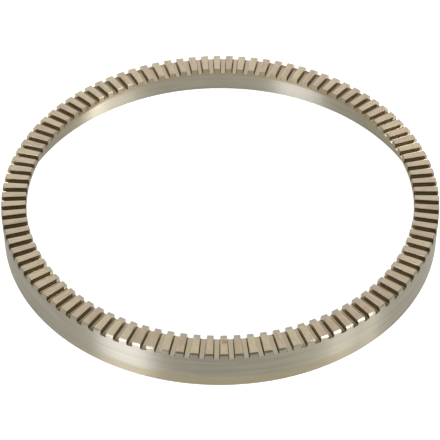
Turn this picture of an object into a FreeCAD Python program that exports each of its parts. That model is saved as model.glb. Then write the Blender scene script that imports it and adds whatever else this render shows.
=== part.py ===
import FreeCAD, Part
import math
import os

# Sensor ring of a commercial-vehicle anti-lock brake: one turned steel ring of L section.
# A thin skirt presses over the wheel hub and a flange at its top carries the teeth, which
# point along the axis at the wheel-speed sensor. Millimetres. The axis is Z, the free edge
# of the skirt lies at z = 0, and the teeth point to +Z. The middle of one tooth is on +X.

# Skirt, which is the press seat on the hub
seat_diameter = 174.3
wall_thickness = 2.85
seat_depth = 14.0

# Toothed flange
tooth_count = 100
tooth_length = 10.25      # radial, from the flange bore to the outer wall
slot_width = 2.5          # milled slots, so their two sides are parallel
slot_depth = 2.3
slot_corner = 0.55        # 45 degree corners along the slot's floor, left by the cutter
web_thickness = 1.1       # metal left below the slots

# Edges
outer_top_chamfer = 0.6
inner_top_chamfer = 0.35
outer_foot_chamfer = 0.4
lead_in_chamfer = 0.5     # at the mouth of the seat, so that the ring starts on the hub
seat_corner_radius = 1.0  # between the seat and the underside of the flange

# Sizes that follow
seat_radius = seat_diameter / 2
outer_radius = seat_radius + wall_thickness
bore_radius = outer_radius - tooth_length
slot_floor = seat_depth + web_thickness
height = slot_floor + slot_depth
cutter_overrun = 1.0      # how far a slot's cutter runs past the ring, each way


def point(radius, z):
    """A point of the half section, which lies in the XZ plane."""
    return FreeCAD.Vector(radius, 0, z)


def arc(start, middle, end):
    return Part.Arc(start, middle, end).toShape()


def line(start, end):
    return Part.makeLine(start, end)


def ring_section():
    """The closed L section: up the seat, out under the flange, over the top and down outside."""
    corner_centre = point(seat_radius - seat_corner_radius, seat_depth - seat_corner_radius)
    corner_middle = corner_centre + FreeCAD.Vector(
        seat_corner_radius * math.cos(math.pi / 4), 0, seat_corner_radius * math.sin(math.pi / 4))
    seat_mouth = point(seat_radius + lead_in_chamfer, 0)
    seat_start = point(seat_radius, lead_in_chamfer)
    seat_end = point(seat_radius, seat_depth - seat_corner_radius)
    shoulder_start = point(seat_radius - seat_corner_radius, seat_depth)
    shoulder_end = point(bore_radius, seat_depth)
    bore_top = point(bore_radius, height - inner_top_chamfer)
    face_start = point(bore_radius + inner_top_chamfer, height)
    face_end = point(outer_radius - outer_top_chamfer, height)
    wall_top = point(outer_radius, height - outer_top_chamfer)
    wall_foot = point(outer_radius, outer_foot_chamfer)
    foot = point(outer_radius - outer_foot_chamfer, 0)
    edges = [
        line(seat_mouth, seat_start),
        line(seat_start, seat_end),
        arc(seat_end, corner_middle, shoulder_start),
        line(shoulder_start, shoulder_end),
        line(shoulder_end, bore_top),
        line(bore_top, face_start),
        line(face_start, face_end),
        line(face_end, wall_top),
        line(wall_top, wall_foot),
        line(wall_foot, foot),
        line(foot, seat_mouth),
    ]
    return Part.Face(Part.Wire(edges))


def slot_cutter():
    """The cutter of the slot on +X: a flat-bottomed U with chamfered corners, run outwards."""
    start = bore_radius - cutter_overrun
    half = slot_width / 2
    top = height + cutter_overrun
    outline = [
        (-half, top),
        (-half, slot_floor + slot_corner),
        (-half + slot_corner, slot_floor),
        (half - slot_corner, slot_floor),
        (half, slot_floor + slot_corner),
        (half, top),
        (-half, top),
    ]
    corners = [FreeCAD.Vector(start, y, z) for y, z in outline]
    profile = Part.Face(Part.makePolygon(corners))
    return profile.extrude(FreeCAD.Vector(tooth_length + 2 * cutter_overrun, 0, 0))


def slot_cutters():
    """One cutter between each pair of neighbouring teeth."""
    pitch = 360 / tooth_count
    first = slot_cutter()
    cutters = []
    for index in range(tooth_count):
        cutter = first.copy()
        cutter.rotate(FreeCAD.Vector(0, 0, 0), FreeCAD.Vector(0, 0, 1), (index + 0.5) * pitch)
        cutters.append(cutter)
    return cutters


def sensor_ring():
    blank = ring_section().revolve(FreeCAD.Vector(0, 0, 0), FreeCAD.Vector(0, 0, 1), 360)
    toothed = blank.cut(slot_cutters())
    return toothed.Solids[0]


os.makedirs("parts", exist_ok=True)
sensor_ring().exportStep("parts/sensor_ring.step")
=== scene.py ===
import math
import bpy
import numpy as np
from mathutils import Matrix, Vector


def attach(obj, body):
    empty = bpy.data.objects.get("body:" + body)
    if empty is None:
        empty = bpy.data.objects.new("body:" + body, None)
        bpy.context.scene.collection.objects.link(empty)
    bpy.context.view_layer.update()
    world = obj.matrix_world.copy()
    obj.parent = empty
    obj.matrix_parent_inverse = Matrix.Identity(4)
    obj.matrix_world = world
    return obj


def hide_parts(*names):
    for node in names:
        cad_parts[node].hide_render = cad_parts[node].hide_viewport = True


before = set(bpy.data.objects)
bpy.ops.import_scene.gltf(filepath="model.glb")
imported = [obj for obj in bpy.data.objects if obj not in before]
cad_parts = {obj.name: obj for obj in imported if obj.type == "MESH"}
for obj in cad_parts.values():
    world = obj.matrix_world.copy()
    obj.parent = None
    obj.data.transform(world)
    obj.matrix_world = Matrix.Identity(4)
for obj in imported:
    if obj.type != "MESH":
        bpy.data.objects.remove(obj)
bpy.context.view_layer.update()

metre = 1000  # millimetres: the ring and the marks on it are given in them, the studio in metres


# shader maths, written as plain expressions
class Wire:
    # wraps one socket, and each operator on it adds a Math node
    def __init__(self, graph, socket):
        self.graph = graph
        self.socket = socket

    def maths(self, operation, first, second):
        inputs = {"Value": first, "Value_001": second}
        return self.graph.add("ShaderNodeMath", {"operation": operation}, inputs)["Value"]

    def __add__(self, other):
        return self.maths("ADD", self, other)

    def __radd__(self, other):
        return self.maths("ADD", other, self)

    def __sub__(self, other):
        return self.maths("SUBTRACT", self, other)

    def __rsub__(self, other):
        return self.maths("SUBTRACT", other, self)

    def __mul__(self, other):
        return self.maths("MULTIPLY", self, other)

    def __rmul__(self, other):
        return self.maths("MULTIPLY", other, self)

    def __truediv__(self, other):
        return self.maths("DIVIDE", self, other)

    def __rtruediv__(self, other):
        return self.maths("DIVIDE", other, self)

    def __pow__(self, other):
        return self.maths("POWER", self, other)

    def __rpow__(self, other):
        return self.maths("POWER", other, self)


def opaque(colour):
    # a colour written as three numbers gets its alpha, and a link stays as it is
    return (*colour, 1) if isinstance(colour, tuple) else colour


class Graph:
    def __init__(self, owner):
        owner.use_nodes = True
        self.tree = owner.node_tree
        self.tree.nodes.clear()

    def add(self, kind, settings, inputs):
        # the one way in which a node is made: its type, its settings, then what its sockets take
        node = self.tree.nodes.new(kind)
        for name, value in settings.items():
            setattr(node, name, value)
        sockets = {socket.identifier: socket for socket in node.inputs}
        for name, value in inputs.items():
            if isinstance(value, Wire):
                self.tree.links.new(value.socket, sockets[name])
            else:
                sockets[name].default_value = value
        return {socket.identifier: Wire(self, socket) for socket in node.outputs}

    def mix(self, factor, first, second):
        # first where factor is 0, second where it is 1
        inputs = {"Factor_Float": factor, "A_Color": opaque(first), "B_Color": opaque(second)}
        return self.add("ShaderNodeMix", {"data_type": "RGBA"}, inputs)["Result_Color"]

    def step(self, value, start, full):
        # rises softly from 0 at start to 1 at full, whichever of the two is the greater
        rising = start <= full
        inputs = {
            "Value": value,
            "From Min": min(start, full),
            "From Max": max(start, full),
            "To Min": 0 if rising else 1,
            "To Max": 1 if rising else 0,
        }
        return self.add("ShaderNodeMapRange", {"interpolation_type": "SMOOTHSTEP"}, inputs)["Result"]

    def noise(self, vector, scale, detail, roughness):
        inputs = {"Vector": vector, "Scale": scale, "Detail": detail, "Roughness": roughness}
        return self.add("ShaderNodeTexNoise", {"noise_dimensions": "3D"}, inputs)["Fac"]

    def vector(self, x, y, z):
        return self.add("ShaderNodeCombineXYZ", {}, {"X": x, "Y": y, "Z": z})["Vector"]


def addObject(name, data):
    thing = bpy.data.objects.new(name, data)
    bpy.context.scene.collection.objects.link(thing)
    return thing


# the ring's surface, in millimetres
ring = {
    "outerRadius": 90.0,
    "seatRadius": 87.15,
    "boreRadius": 79.75,
    "height": 17.4,
    "seatDepth": 14.0,
    "slotFloor": 15.1,
    "teeth": 100,
    "slotWidth": 2.5,
    "slotCorner": 0.5,       # radius of the corners along a slot's floor
    "slotDraft": 0.02,       # how much narrower a slot is at its floor, each side
    "toothBreak": 0.1,       # rounding of the long edges of a tooth
    "outerChamfer": 0.6,
    "innerChamfer": 0.25,
    "footChamfer": 0.4,
    "leadIn": 0.5,           # chamfer at the mouth of the seat
    "bulge": 0.03,           # of a chamfer's width, how far its middle stands proud
    "seatCorner": 1.0,       # fillet between the seat and the underside of the flange
    "boreBreak": 0.12,       # at the lower edge of the flange's bore
    "edgeBreak": 0.06,       # at both ends of a slot, where no chamfer is left
    "wander": 0.015,         # spread of the slots' widths and depths
    "mostWander": 0.04,      # the most that one of them is off
    "seed": 7,
    "belowSlots": 0.3,       # from the slots' floors down to the next row of the walls
    "seatRows": (4.5, 9.0),  # heights of rows that divide the seat
    "wallRows": (11.0, 7.0, 3.0),
    "faceRows": 4,           # rows across the top of the teeth
    "cornerPoints": 5,       # on each rounded corner and on the fillet
    "breakPoints": 3,        # on the rounding of a tooth's long edge
    "sharpAngle": 30,        # degrees, past which the fold between two faces shows as an edge
}


def ringSurface(size):
    # A closed half section carried round the axis. Each column of the grid in a slot keeps one
    # sideways distance y from the slot's middle, so it stands at the angle asin(y / r) from it,
    # and the slot's two sides stay parallel. The columns on a tooth share out the angle that is
    # left. A column's sink is how far the cutter took its top down: 0 on a tooth, the slot's
    # depth on its floor, and a quarter circle in the corner and at the tooth's long edge.
    count = size["teeth"]
    half = size["slotWidth"] / 2
    depth = size["height"] - size["slotFloor"]
    corner = size["slotCorner"]
    cornerStart = half - size["slotDraft"] - corner
    edge = size["toothBreak"]
    quarter = np.radians(np.linspace(0, 90, size["cornerPoints"]))
    coarseQuarter = np.radians(np.linspace(0, 90, size["breakPoints"]))
    tiny = 1e-6

    # half a pitch of columns, from the middle of a slot to the middle of a tooth
    y = np.concatenate([
        [0],
        cornerStart + corner * np.sin(quarter),
        half + edge * (1 - np.cos(coarseQuarter)),
        [0, 0],
    ])
    sink = np.concatenate([
        [depth],
        depth - corner * (1 - np.cos(quarter)),
        edge * (1 - np.sin(coarseQuarter)),
        [0, 0],
    ])
    share = np.zeros(len(y))  # of the way from a tooth's edge to its middle
    share[-2:] = 0.5, 1

    # with its mirror image it makes one pitch, which is repeated for each tooth
    last = len(y)
    pick = np.concatenate([np.arange(last), np.arange(last - 2, 0, -1)])
    side = np.where(np.arange(len(pick)) < last, 1.0, -1.0)
    slot = (np.arange(count)[:, None] + (side < 0)).ravel()
    y, sink, share = [np.tile(values[pick], count) for values in (y, sink, share)]
    side = np.tile(side, count)

    # each slot differs a little from the next, first in width and then in depth
    rng = np.random.default_rng(size["seed"])
    most = size["mostWander"]

    def wander():
        return rng.normal(0, size["wander"], count).clip(-most, most)[slot % count]

    y = y + wander() * (y > cornerStart - tiny)
    sink = sink + wander() * (sink > edge + tiny)
    top = size["height"] - sink

    # the section's rows, from the mouth of the seat up, in under the flange, over and down
    outer = size["outerRadius"]
    seat = size["seatRadius"]
    bore = size["boreRadius"]
    shoulder = size["seatDepth"]
    fillet = size["seatCorner"]
    lip = size["boreBreak"]
    lead = size["leadIn"]
    foot = size["footChamfer"]
    underSlots = size["slotFloor"] - size["belowSlots"]
    innerCut = np.maximum(size["innerChamfer"] - sink, size["edgeBreak"])
    outerCut = np.maximum(size["outerChamfer"] - sink, size["edgeBreak"])
    middle = 0.5 - size["bulge"]  # where the middle of a chamfer's face lies, of its width
    rows = []
    kinds = []  # what the strip of faces above each row is

    def row(radius, z, kind="wall"):
        rows.append((np.broadcast_to(radius, top.shape), np.broadcast_to(z, top.shape)))
        kinds.append(kind)

    row(seat + lead, 0.0)
    row(seat + lead * middle, lead * middle)
    for z in (lead, *size["seatRows"]):
        row(seat, z)
    for bend in quarter:
        row(seat - fillet * (1 - np.cos(bend)), shoulder - fillet * (1 - np.sin(bend)))
    row((seat + bore) / 2, shoulder)
    row(bore + lip, shoulder)
    row(bore, shoulder + lip, "land")
    row(bore, underSlots, "land")
    row(bore, top - innerCut, "land")
    row(bore + innerCut * middle, top - innerCut * middle, "land")
    for part in np.linspace(0, 1, size["faceRows"], endpoint=False):
        row((bore + innerCut) * (1 - part) + (outer - outerCut) * part, top, "milled")
    row(outer - outerCut, top, "chamfer")
    row(outer - outerCut * middle, top - outerCut * middle, "chamfer")
    row(outer, top - outerCut)
    for z in (underSlots, *size["wallRows"], foot):
        row(outer, z)
    row(outer - foot * middle, foot * middle)
    row(outer - foot, 0.0)

    radius = np.array([r for r, z in rows])
    height = np.array([z for r, z in rows])
    pitch = 2 * np.pi / count
    edgeReach = np.arcsin((half + edge) / radius)
    onTooth = edgeReach + (pitch / 2 - edgeReach) * share
    reach = np.where(share > 0, onTooth, np.arcsin(y / radius))
    angle = (slot + 0.5) * pitch + side * reach
    points = np.stack([radius * np.cos(angle), radius * np.sin(angle), height], -1)

    # corners of each face of the grid, which closes on itself both ways
    index = np.arange(radius.size).reshape(radius.shape)
    along = np.roll(index, -1, 1)
    up = np.roll(index, -1, 0)
    both = np.roll(along, -1, 0)
    faces = np.stack([index, up, both, along], -1).reshape(-1, 4)

    # what the steel needs to know of each face
    kind = np.array(kinds)[:, None]
    milled = kind == "milled"
    deepest = np.maximum(sink, np.roll(sink, -1))
    shallowest = np.minimum(sink, np.roll(sink, -1))
    slack = 0.06  # more than slots differ by
    inSlot = deepest > edge + slack
    onFloor = shallowest > depth - slack
    inCorner = ~onFloor & (shallowest > depth - corner - slack)
    tooth = np.where(side > 0, slot + 1, slot) % count
    tints = rng.random((2, count))
    marks = {
        "milled": milled,
        "chamfer": (kind == "chamfer") & ~inSlot,
        "land": (kind == "land") | (kind == "chamfer") & inSlot,
        "slotFloor": milled & onFloor,
        # slotSide marks where the steel paints shade on the slots' sides
        "slotSide": milled & inSlot & ~onFloor,
        # slotCorner marks where the steel paints shade in the slots' corners
        "slotCorner": milled & inCorner,
        "tint": np.where(onFloor, tints[0][slot % count], tints[1][tooth]),
    }
    for name, values in marks.items():
        marks[name] = np.broadcast_to(values, radius.shape).astype(np.float32).ravel()
    return points.reshape(-1, 3), faces, marks


def makeMesh(name, points, faces, marks, sharpAngle):
    mesh = bpy.data.meshes.new(name)
    mesh.from_pydata(points / metre, [], faces)
    mesh.validate()
    mesh.shade_smooth()
    mesh.set_sharp_from_angle(angle=math.radians(sharpAngle))
    for label, values in marks.items():
        mesh.attributes.new(label, "FLOAT", "FACE").data.foreach_set("value", values)
    mesh.update()
    return addObject(name, mesh)


points, faces, marks = ringSurface(ring)
sensorRing = makeMesh("sensorRingSurface", points, faces, marks, ring["sharpAngle"])
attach(sensorRing, "root")
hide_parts("sensor_ring")
print("ring surface:", len(points), "points,", len(faces), "faces")

# its steel
steel = {
    "toothColour": (0.520, 0.445, 0.308),     # warm straw tint of the milled flange
    "toothRose": (0.518, 0.413, 0.302),       # patches, more of them on some teeth
    "toothShade": (0.350, 0.288, 0.200),      # streaks and specks
    "capGreyAndReflection": (0.395, 0.370, 0.300),       # greyer inner ends of the tooth tops: a grey of their own, and painted reflection where more is laid at the front
    "floorColour": (0.425, 0.362, 0.258),     # floors of the slots
    "paintedFloorEndShade": (0.150, 0.116, 0.070),  # painted shade where a floor runs out, at the ring's left and right
    "paintedSideShade": (0.390, 0.345, 0.255),      # sides of the slots, darker than the tops: painted shade where light meets them more than once
    "paintedCornerShade": (0.210, 0.160, 0.095),    # painted shade between a slot's floor and its sides
    "landColour": (0.245, 0.198, 0.124),      # bore of the flange, with the inner ends of the teeth
    "wallColour": (0.308, 0.284, 0.212),      # greyer turned walls
    "wallShade": (0.272, 0.250, 0.187),       # streaks on them
    "footTintAndReflection": (0.292, 0.252, 0.160),        # browner foot of the outer wall, at the front: partly its own tint, partly painted reflection of the shaded floor beside it
    "edgeTint": (0.70, 0.70, 0.70),           # keeps the walls from whitening where seen aslant
    "stain": (0.240, 0.150, 0.110),
    "wallRoughness": 0.345,
    "chamferRoughness": 0.16,
    "footRoughness": 0.28,
    "toothRoughness": 0.38,
    "slotRoughness": 0.22,
    "wallStretch": 1.0,                       # anisotropy of the turned walls
    "wallStretchTurn": 0.25,                  # of a full turn
    "toothStretch": 0.5,
    "bumpHeight": 0.00003,                    # metres
    "bumpStrength": 0.35,
    # marks along the ring: how many to the radian and to the millimetre, detail, roughness
    "turning": (2.5, 0.7, 3.0, 0.6),
    "fineTurning": (6, 9, 2.0, 0.6),
    "brushing": (110, 0.2, 4.0, 0.7),
    # patches: how many to the metre, detail, roughness
    "cloud": (55, 3.0, 0.55),
    "mottle": (420, 3.0, 0.6),
    "speck": (1300, 2.0, 0.5),
    # where each blend starts and where it is full: of the marks, in millimetres, or of y / r
    "roseStep": (0.55, 1.0),
    "shadeStep": (0.4, 0.75),
    "speckStep": (0.56, 0.72),
    "wallStep": (0.35, 0.7),
    "capStep": (81.9, 81.2),
    "runOutStep": (86.8, 89.3),
    "leftAndRightStep": (0.04, 0.14),         # of x / r, squared
    "frontStep": (-0.3, -0.8),
    "footFrontStep": (-0.70, -0.92),
    "footHeightStep": (6.6, 3.2),
    "outerWallStep": (88.0, 89.0),
    # how much of each there is where it is full
    "shadeShare": 0.75,
    "speckShare": 0.55,
    "capShare": (0.3, 0.9),                   # elsewhere, and at the front, where the extra grey is painted reflection
    "floorEndShadeShare": 0.85,
    # painted reflection: grey on the floors' outer ends, at the front
    "floorEndReflectionShare": 0.8,
    "footShare": 0.9,
    "landMilled": 0.6,                        # how far the flange's bore is finished as the teeth are
    # how far one tooth or slot differs from the next
    "roseByTooth": 0.6,
    "shadeByTooth": 0.18,
    "strawBySlot": 0.4,
    # how far marks shift an edge, in millimetres or of a spot's reach
    "capWander": 0.5,
    "footWander": 4,
    "spotWander": 1.5,
    "spotCore": 0.3,                          # of its reach, how far out a spot is full
    # how far marks change the roughness
    "wallByTurning": 0.10,
    "wallByCloud": 0.08,
    "toothByBrushing": 0.2,
    "toothByCloud": 0.1,
    # how deep each mark is cut, as a share of the turning
    "brushingDepth": 0.8,
    "speckDepth": 0.15,
    # small dark marks on the flange, in millimetres: place, reach, how strong
    "spots": [
        ((5.94, 81.68, 17.4), 0.55, 0.7),
        ((10.84, 81.58, 17.4), 0.45, 0.6),
        ((4.36, 80.67, 15.1), 0.60, 0.9),
        ((0.26, -83.02, 17.4), 1.35, 0.6),
    ],
}


def steelMaterial(look, labels):
    material = bpy.data.materials.new("turnedSteel")
    graph = Graph(material)
    place = graph.add("ShaderNodeTexCoord", {}, {})["Object"]
    axes = graph.add("ShaderNodeSeparateXYZ", {}, {"Vector": place})
    x, y, z = [axes[name] * metre for name in "XYZ"]
    radius = (x * x + y * y) ** 0.5
    east = x / radius
    north = y / radius
    mark = {}
    for label in labels:
        mark[label] = graph.add("ShaderNodeAttribute", {"attribute_name": label}, {})["Fac"]
    tint = mark["tint"]
    land = mark["land"]

    def marksAlong(name, out):
        # marks laid round the axis and along out: a noise read at east, north and out, each scaled
        perRadian, perMillimetre, detail, roughness = look[name]
        where = graph.vector(east * perRadian, north * perRadian, out * perMillimetre)
        return graph.noise(where, 1.0, detail, roughness)

    # turning marks are long round the axis and short across it, brushing marks the other way
    turned = marksAlong("turning", z + radius)
    turnedFine = marksAlong("fineTurning", z + radius)
    brushed = marksAlong("brushing", radius)
    cloud, mottle, speck = [graph.noise(place, *look[name]) for name in ("cloud", "mottle", "speck")]

    # tops of the teeth
    rose = graph.step(mottle + tint * look["roseByTooth"], *look["roseStep"])
    tooth = graph.mix(rose, look["toothColour"], look["toothRose"])
    shade = graph.step(brushed + (tint - 0.5) * look["shadeByTooth"], *look["shadeStep"])
    tooth = graph.mix(shade * look["shadeShare"], tooth, look["toothShade"])
    specks = graph.step(speck, *look["speckStep"])
    tooth = graph.mix(specks * look["speckShare"], tooth, look["toothShade"])
    # the tops' inner ends turn greyer: a little all round, and more at the front as painted
    # reflection
    front = graph.step(north, *look["frontStep"])
    elsewhere, atFront = look["capShare"]
    cap = graph.step(radius + mottle * look["capWander"], *look["capStep"])
    tooth = graph.mix(cap * (elsewhere + front * (atFront - elsewhere)), tooth, look["capGreyAndReflection"])

    # slots, and the bore of the flange
    floor = graph.mix(tint * look["strawBySlot"], look["floorColour"], look["toothColour"])
    runOut = graph.step(radius, *look["runOutStep"])
    leftAndRight = graph.step(east * east, *look["leftAndRightStep"])
    # painted shade: at the ring's left and right the floors darken where they run out
    floor = graph.mix(runOut * leftAndRight * look["floorEndShadeShare"], floor, look["paintedFloorEndShade"])
    # painted reflection: at the front, the floors' outer ends fade to the caps' grey
    floorEndReflection = runOut * front * (1 - leftAndRight)
    floor = graph.mix(floorEndReflection * look["floorEndReflectionShare"], floor, look["capGreyAndReflection"])
    tooth = graph.mix(mark["slotFloor"], tooth, floor)
    # painted shade on the slots' sides
    tooth = graph.mix(mark["slotSide"], tooth, look["paintedSideShade"])
    # painted shade in the slots' corners
    tooth = graph.mix(mark["slotCorner"], tooth, look["paintedCornerShade"])
    tooth = graph.mix(land, tooth, look["landColour"])

    for centre, reach, strength in look["spots"]:
        ends = {"Vector": place, "Vector_001": [length / metre for length in centre]}
        gap = graph.add("ShaderNodeVectorMath", {"operation": "DISTANCE"}, ends)["Value"] * metre
        uneven = (mottle + speck - 1) * reach * look["spotWander"]
        spot = graph.step(gap + uneven, reach, reach * look["spotCore"])
        tooth = graph.mix(spot * strength, tooth, look["stain"])

    # turned walls
    wall = graph.mix(graph.step(turned, *look["wallStep"]), look["wallColour"], look["wallShade"])
    # the foot at the front: partly a browner tint of its own, partly painted reflection of the shaded
    # floor
    low = graph.step(z + (turned - 0.5) * look["footWander"], *look["footHeightStep"])
    outside = graph.step(radius, *look["outerWallStep"])
    foot = low * graph.step(north, *look["footFrontStep"]) * outside
    wall = graph.mix(foot * look["footShare"], wall, look["footTintAndReflection"])
    wall = graph.mix(land, wall, look["landColour"])

    # bump and roughness
    grain = (turnedFine - 0.5) * (1 - mark["milled"])
    grain = grain + (brushed - 0.5) * mark["milled"] * look["brushingDepth"]
    grain = grain + (speck - 0.5) * look["speckDepth"]
    cut = {"Strength": look["bumpStrength"], "Distance": look["bumpHeight"], "Height": grain}
    bump = graph.add("ShaderNodeBump", {}, cut)["Normal"]
    finish = look["wallRoughness"] + foot * (look["footRoughness"] - look["wallRoughness"])
    finish = finish + mark["chamfer"] * (look["chamferRoughness"] - look["wallRoughness"])
    streaks = (turned - 0.5) * look["wallByTurning"] + (cloud - 0.5) * look["wallByCloud"]
    inSlot = mark["slotFloor"] + mark["slotSide"]
    ground = look["toothRoughness"] + inSlot * (look["slotRoughness"] - look["toothRoughness"])
    ground = ground + (brushed - 0.5) * look["toothByBrushing"]

    turnedFace = graph.add("ShaderNodeBsdfPrincipled", {}, {
        "Base Color": wall,
        "Metallic": 1.0,
        "Roughness": finish + streaks,
        "Specular Tint": opaque(look["edgeTint"]),
        "Anisotropic": look["wallStretch"],
        "Anisotropic Rotation": look["wallStretchTurn"],
        "Normal": bump,
    })["BSDF"]
    milledFace = graph.add("ShaderNodeBsdfPrincipled", {}, {
        "Base Color": tooth,
        "Metallic": 1.0,
        "Roughness": ground + (cloud - 0.5) * look["toothByCloud"],
        "Anisotropic": look["toothStretch"],
        "Normal": bump,
    })["BSDF"]
    milledShare = mark["milled"] + land * look["landMilled"]
    faces = {"Fac": milledShare, "Shader": turnedFace, "Shader_001": milledFace}
    surface = graph.add("ShaderNodeMixShader", {}, faces)["Shader"]
    graph.add("ShaderNodeOutputMaterial", {}, {"Surface": surface})
    return material


sensorRing.data.materials.append(steelMaterial(steel, marks))
print("steel made")

# floor and light, in metres
studio = {
    "floorSize": 8.0,
    "floorDrop": 0.0001,    # keeps the floor clear of the ring's foot
    "floorColour": (0.60, 0.60, 0.60),
    "floorLift": 0.76,      # added where the floor is seen or mirrored, so that it comes out white
    "ambient": 0.45,
    "panelWatts": 4.0,      # to the square metre, for a radiance of 1
    # the two feet of each soft panel, its bottom and top, its radiance, its colour
    "panels": [
        ((-0.980, -0.712), (-0.402, -0.668), 0.03, 0.40, 15.0, (0.94, 0.985, 1.25)),
        ((-0.980, -0.712), (-0.402, -0.668), 0.40, 1.70, 1.3, (0.97, 0.985, 1.10)),
        ((0.640, -0.598), (1.120, -0.670), 0.03, 1.70, 6.7, (0.97, 0.985, 1.10)),
        ((0.630, -0.305), (1.340, -0.482), 0.03, 1.70, 13.8, (0.97, 0.985, 1.10)),
        ((-0.700, 1.250), (0.700, 1.250), 0.25, 0.85, 0.3, (0.97, 0.985, 1.10)),
    ],
    # a narrow beam on the inner wall, at the back left
    "beam": {
        "place": (1.045, -0.468, 0.270),
        "aim": (-0.0545, 0.0680, 0.0090),
        "cone": 4.0,        # degrees
        "softness": 0.5,
        "radius": 0.03,
        "watts": 14.0,
    },
    # corners of the dark cards in front of the ring and over it, which only the steel mirrors
    "cards": [
        ((-0.42, -0.95, 0.10), (0.55, -0.95, 0.10), (0.55, -0.95, 2.40), (-0.42, -0.95, 2.40)),
        ((-0.50, -0.95, 1.30), (0.50, -0.95, 1.30), (0.50, 0.15, 1.30), (-0.50, 0.15, 1.30)),
    ],
    "cardShade": 0.42,      # how bright they are
}


def seenDirectly(graph):
    # 1 for what is seen, straight, in metal or through glass, and 0 for light that falls on things
    path = graph.add("ShaderNodeLightPath", {}, {})
    seen = path["Is Camera Ray"] + path["Is Glossy Ray"] + path["Is Transmission Ray"]
    return graph.add("ShaderNodeClamp", {}, {"Value": seen})["Result"]


def flatPiece(name, corners, material):
    # one face between four corners, which isn't part of the object
    mesh = bpy.data.meshes.new(name)
    mesh.from_pydata(corners, [], [(0, 1, 2, 3)])
    mesh.materials.append(material)
    piece = addObject(name, mesh)
    return piece


def makeFloor(look):
    material = bpy.data.materials.new("paleFloor")
    graph = Graph(material)
    plain = graph.add("ShaderNodeBsdfDiffuse", {}, {"Color": opaque(look["floorColour"])})["BSDF"]
    strength = seenDirectly(graph) * look["floorLift"]
    lift = graph.add("ShaderNodeEmission", {}, {"Strength": strength})["Emission"]
    both = graph.add("ShaderNodeAddShader", {}, {"Shader": plain, "Shader_001": lift})["Shader"]
    graph.add("ShaderNodeOutputMaterial", {}, {"Surface": both})
    reach = look["floorSize"] / 2
    corners = [(-reach, -reach, 0), (reach, -reach, 0), (reach, reach, 0), (-reach, reach, 0)]
    flatPiece("floor", corners, material).location.z = -look["floorDrop"]


def makeWorld(look):
    world = bpy.data.worlds.new("studio")
    graph = Graph(world)
    seen = seenDirectly(graph)
    strength = seen + (1 - seen) * look["ambient"]
    white = {"Color": (1, 1, 1, 1), "Strength": strength}
    light = graph.add("ShaderNodeBackground", {}, white)["Background"]
    graph.add("ShaderNodeOutputWorld", {}, {"Surface": light})
    bpy.context.scene.world = world


def standing(left, right, low, high):
    # A panel stands over the line between its feet. Its X runs along that line and its Y up,
    # and its -Z, the way in which a lamp shines, looks to the ring's side.
    first = Vector((*left, 0))
    second = Vector((*right, 0))
    along = (second - first).normalized()
    middle = (first + second) / 2 + Vector((0, 0, (low + high) / 2))
    away = along.cross(Vector((0, 0, 1)))
    if away.dot(middle) < 0:
        along = -along
        away = -away
    turn = Matrix((along, (0, 0, 1), away)).transposed().to_4x4()
    return Matrix.Translation(middle) @ turn, (second - first).length


def addLamp(name, data, place):
    lamp = addObject(name, data)
    lamp.matrix_world = place
    lamp.visible_camera = False


def makeLights(look):
    for left, right, low, high, radiance, colour in look["panels"]:
        place, width = standing(left, right, low, high)
        panel = bpy.data.lights.new("softPanel", "AREA")
        panel.shape = "RECTANGLE"
        panel.color = colour
        panel.size = width
        panel.size_y = high - low
        panel.energy = radiance * look["panelWatts"] * width * (high - low)
        addLamp("softPanel", panel, place)

    glint = look["beam"]
    beam = bpy.data.lights.new("beam", "SPOT")
    beam.energy = glint["watts"]
    beam.spot_size = math.radians(glint["cone"])
    beam.spot_blend = glint["softness"]
    beam.shadow_soft_size = glint["radius"]
    start = Vector(glint["place"])
    turn = (Vector(glint["aim"]) - start).to_track_quat("-Z", "Y").to_matrix().to_4x4()
    addLamp("beam", beam, Matrix.Translation(start) @ turn)


def makeCards(look):
    material = bpy.data.materials.new("darkCard")
    graph = Graph(material)
    dark = graph.add("ShaderNodeEmission", {}, {"Strength": look["cardShade"]})["Emission"]
    graph.add("ShaderNodeOutputMaterial", {}, {"Surface": dark})
    for corners in look["cards"]:
        card = flatPiece("card", corners, material)
        card.visible_camera = False
        card.visible_diffuse = False
        card.visible_shadow = False
        card.visible_transmission = False


# the camera: metres, degrees, and millimetres for the lens and the sensor
camera = {
    "place": (-0.00724, -0.52112, 0.50288),
    "turn": -0.7820,
    "tilt": 46.0873,
    "roll": -0.2237,
    "lens": 141.475,
    "sensor": 36,
    "nearest": 0.01,  # nothing nearer or further than these is seen
    "furthest": 100,
}


def makeCamera(look):
    data = bpy.data.cameras.new("camera")
    data.sensor_width = look["sensor"]
    data.lens = look["lens"]
    data.clip_start = look["nearest"]
    data.clip_end = look["furthest"]
    stand = Matrix.Translation(look["place"])
    for name, axis in (("turn", "Z"), ("tilt", "X"), ("roll", "Z")):
        stand = stand @ Matrix.Rotation(math.radians(look[name]), 4, axis)
    eye = addObject("camera", data)
    eye.matrix_world = stand
    bpy.context.scene.camera = eye


makeFloor(studio)
makeWorld(studio)
makeLights(studio)
makeCards(studio)
makeCamera(camera)
bpy.context.scene.view_settings.view_transform = "Standard"
print("studio made")
